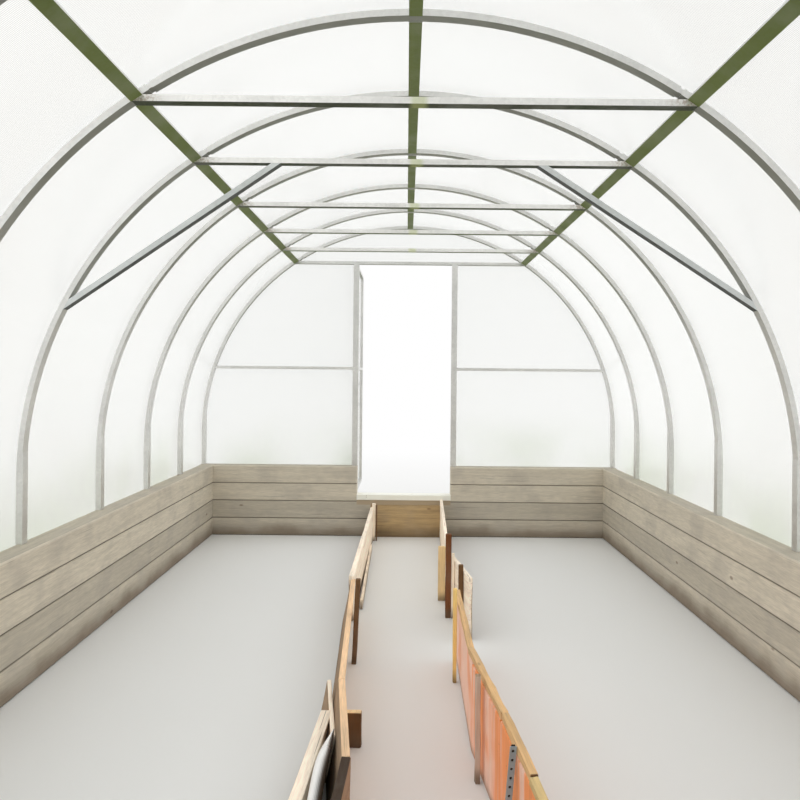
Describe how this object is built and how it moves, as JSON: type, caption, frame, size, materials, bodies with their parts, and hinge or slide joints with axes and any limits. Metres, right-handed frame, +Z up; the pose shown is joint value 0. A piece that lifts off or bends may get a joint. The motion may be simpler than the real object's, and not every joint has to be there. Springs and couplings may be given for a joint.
{
  "type": "arched single-span greenhouse",
  "caption": "Half-round walk-in greenhouse: galvanised tube hoops with collar ties and purlins, cellular sheet cover, timber base, board-edged path and a hinged gable door.",
  "frame": {"origin": "on the floor, under the middle of the whole outline with the far door standing open", "axes": "+Y along the house towards the open door, +X to the right seen from inside facing that door, +Z up"},
  "size_m": [3.0086, 6.838, 2.2461],
  "materials": {
    "galvanised": "galvanised tube, spangled and dulled",
    "cladding": "clear cellular sheet with fine flutes, hazed",
    "base_timber": "sawn, weathered to light grey",
    "path_timber": "sawn, weathered grey-brown",
    "painted_panel": "worn orange-brown paint",
    "threshold_paint": "white painted cap on a grey sill",
    "handle_steel": "black powder coat"
  },
  "bodies": {
    "house": {"base_far": "base_timber", "base_left": "base_timber", "base_near": "base_timber", "base_right": "base_timber", "collar_tie_2": "galvanised", "collar_tie_3": "galvanised", "collar_tie_4": "galvanised", "collar_tie_5": "galvanised", "collar_tie_6": "galvanised", "collar_tie_7": "galvanised", "collar_tie_8": "galvanised", "collar_tie_9": "galvanised", "end_board_far": "base_timber", "end_board_near": "base_timber", "gable_frame_far": "galvanised", "gable_frame_near": "galvanised", "gable_sheet_far_left": "cladding", "gable_sheet_far_over": "cladding", "gable_sheet_far_right": "cladding", "gable_sheet_near_left": "cladding", "gable_sheet_near_over": "cladding", "gable_sheet_near_right": "cladding", "hoop_1": "galvanised", "hoop_10": "galvanised", "hoop_2": "galvanised", "hoop_3": "galvanised", "hoop_4": "galvanised", "hoop_5": "galvanised", "hoop_6": "galvanised", "hoop_7": "galvanised", "hoop_8": "galvanised", "hoop_9": "galvanised", "knee_brace_left": "galvanised", "knee_brace_right": "galvanised", "near_door_frame": "galvanised", "near_door_handle": "handle_steel", "near_door_sheet": "cladding", "path_boards_left": "path_timber", "path_boards_right_far": "path_timber", "path_boards_right_near": "path_timber", "path_panel_right": "painted_panel", "purlin_left": "galvanised", "purlin_ridge": "galvanised", "purlin_right": "galvanised", "roof_sheet_1": "cladding", "roof_sheet_2": "cladding", "roof_sheet_3": "cladding", "threshold_far": "threshold_paint", "threshold_near": "threshold_paint"},
    "door": {"door_frame": "galvanised", "door_sheet": "cladding", "door_handle": "handle_steel"}
  },
  "joints": [
    {"name": "door_hinge", "type": "hinge", "parent": "house", "child": "door", "pos_m": [-0.391, 2.707, 1], "axis": [0, 0, 1], "range_deg": [-90, 60]}
  ]
}
